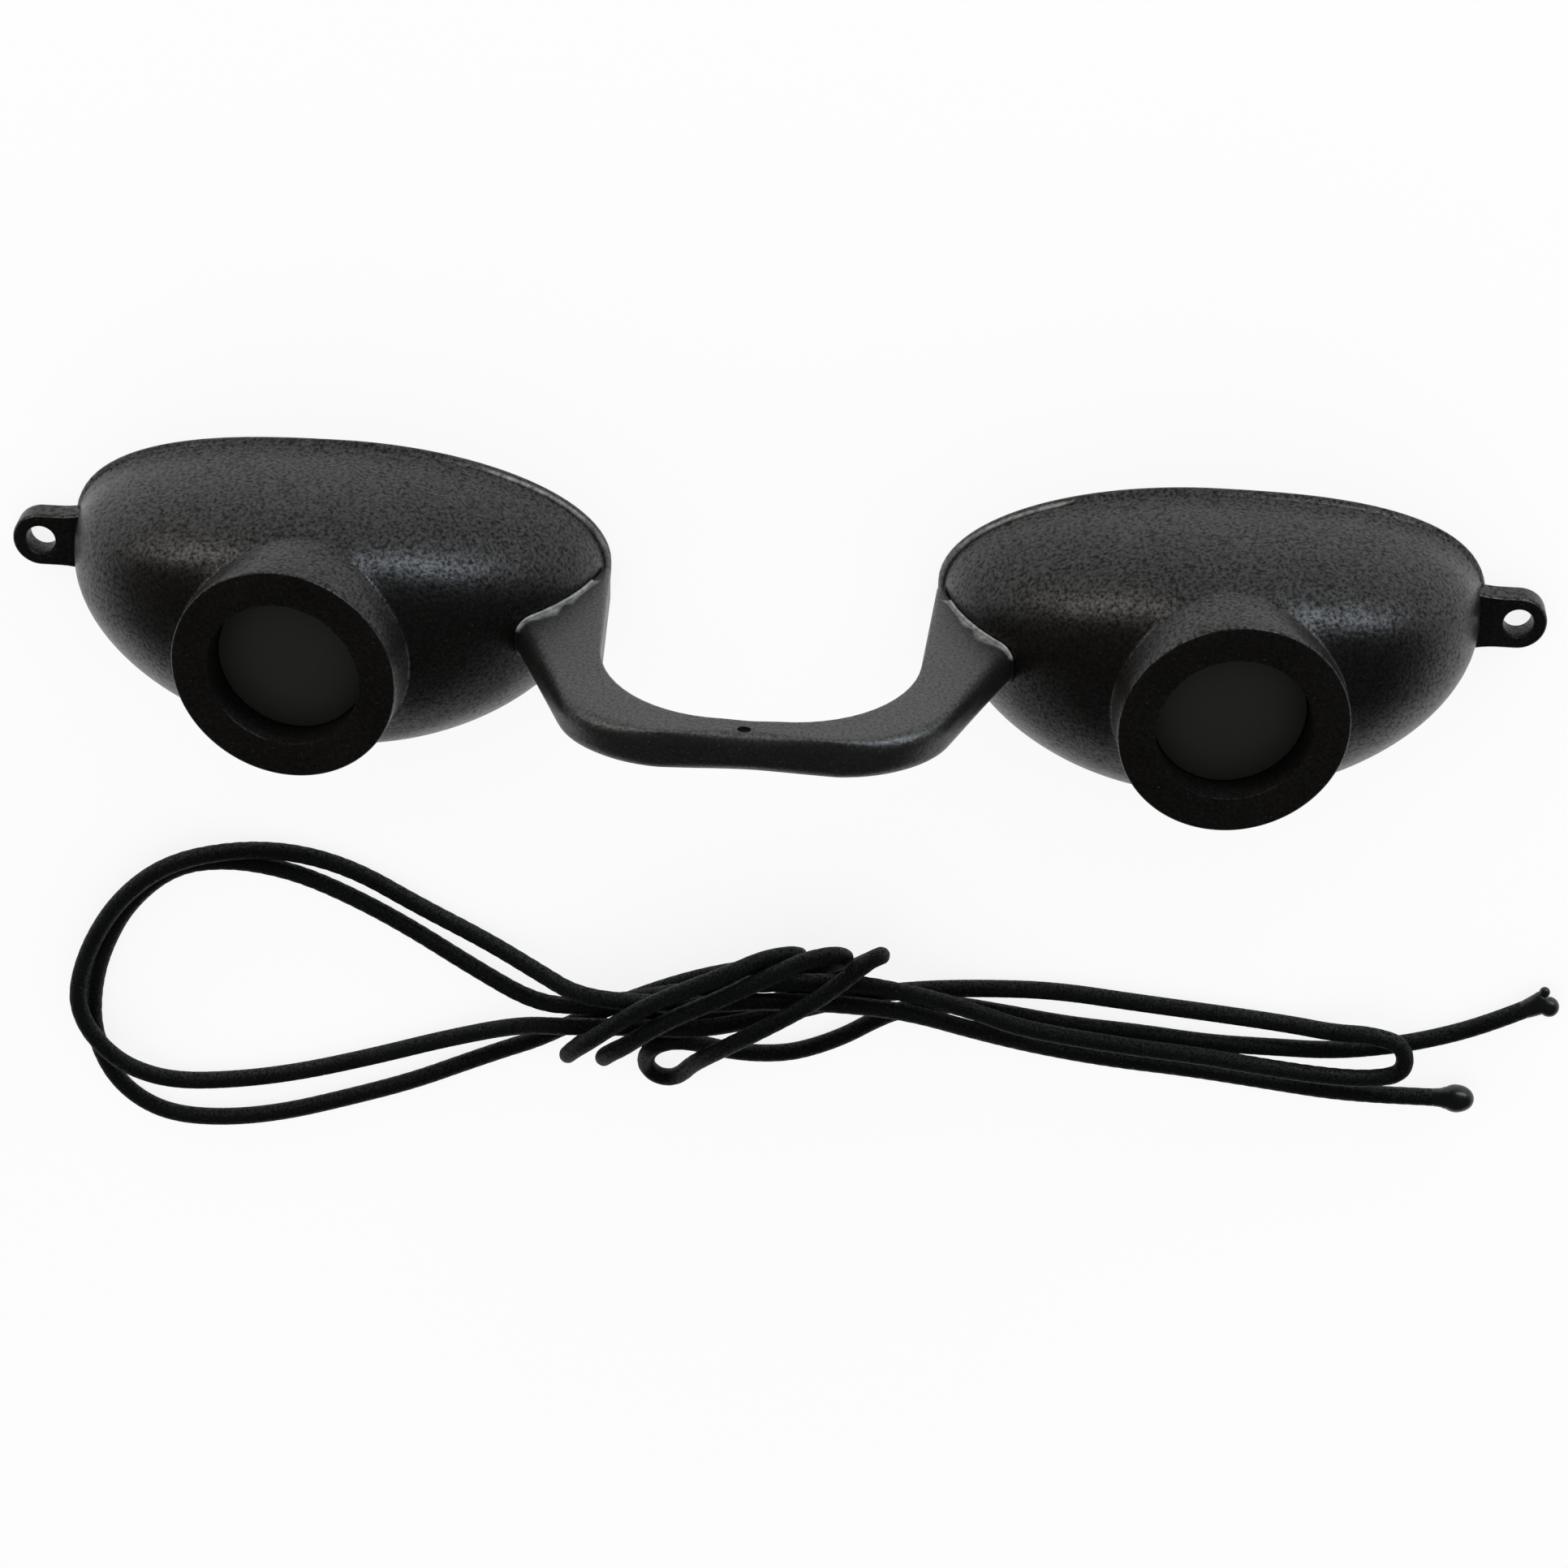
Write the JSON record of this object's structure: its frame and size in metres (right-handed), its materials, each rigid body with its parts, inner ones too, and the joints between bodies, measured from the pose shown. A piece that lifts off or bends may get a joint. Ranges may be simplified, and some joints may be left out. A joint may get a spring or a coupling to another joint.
{
  "type": "tanning goggles",
  "caption": "small tanning goggles with domed eyecups, round dark lenses, a U nose bridge, cord tabs and a loose knotted hank of cord",
  "frame": {"origin": "on the rim plane that the goggles rest on, midway between the two eyes, at the centre of the goggles' box without the cord", "axes": "+Z points out of the face through the lenses, X runs from eye to eye with +X to the right in the picture, +Y points to the brow"},
  "size_m": [0.1197, 0.0628, 0.0253],
  "materials": {
    "shell_plastic": "satin",
    "bridge_plastic": "satin",
    "lens_plastic": "gloss",
    "cord_braid": "matte",
    "melted_cord": "gloss"
  },
  "bodies": {
    "left_eyepiece": {"left_cup": "shell_plastic", "left_lens": "lens_plastic", "nose_bridge": "bridge_plastic"},
    "right_eyepiece": {"right_cup": "shell_plastic", "right_lens": "lens_plastic"},
    "cord": {"cord_hank": "cord_braid", "cord_beaded_tail": "cord_braid", "cord_flared_tail": "cord_braid", "cord_bead_end": "melted_cord", "cord_flared_end": "melted_cord"}
  },
  "joints": [
    {"name": "bridge_flex", "type": "hinge", "parent": "left_eyepiece", "child": "right_eyepiece", "pos_m": [0, 0, 0.0231], "axis": [0, 1, 0], "range_deg": [-12, 12], "stiffness_Nm_per_rad": 0.08, "deforming": ["nose_bridge"]},
    {"name": "cord_lift", "type": "slide", "parent": "left_eyepiece", "child": "cord", "axis": [0, 0, 1], "range_m": [0, 0.05]}
  ]
}
